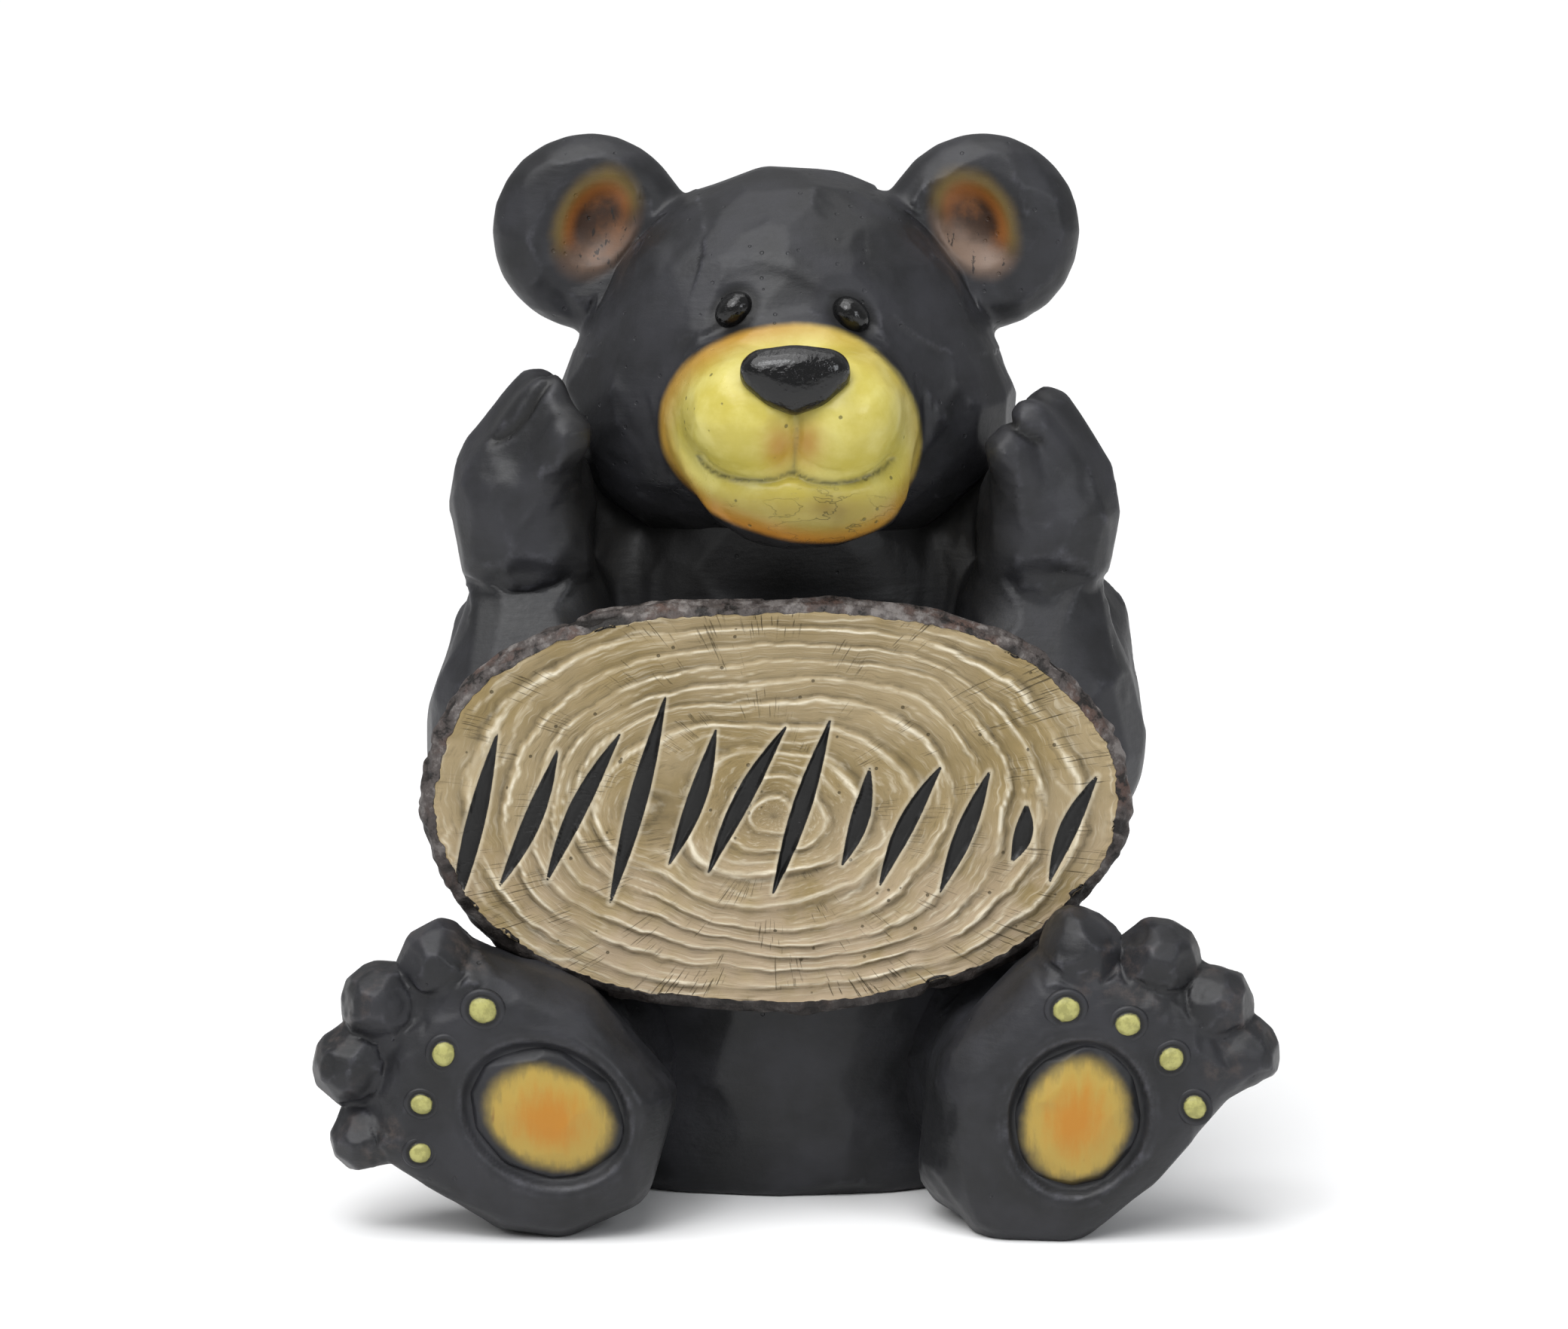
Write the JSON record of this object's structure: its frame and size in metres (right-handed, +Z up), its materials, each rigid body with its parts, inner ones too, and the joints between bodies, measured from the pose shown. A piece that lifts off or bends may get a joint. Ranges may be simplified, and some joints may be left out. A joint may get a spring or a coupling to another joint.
{
  "type": "bear garden statue",
  "caption": "Sitting bear figure in a chisel-faceted style, paws at its cheeks, with an oval log-slice plaque held between its soles and its belly.",
  "frame": {"origin": "on the floor plane, in the middle of the seat that the bear sits on", "axes": "+Z up, -Y the way the bear looks, +X to the bear's own left"},
  "size_m": [0.4019, 0.2519, 0.4492],
  "materials": {
    "bear_paint": "satin painted cast resin",
    "plaque_paint": "matt painted cast resin in the colours of wood and bark"
  },
  "bodies": {
    "root": {"bear": "bear_paint", "log_slice_sign": "plaque_paint"}
  },
  "joints": []
}
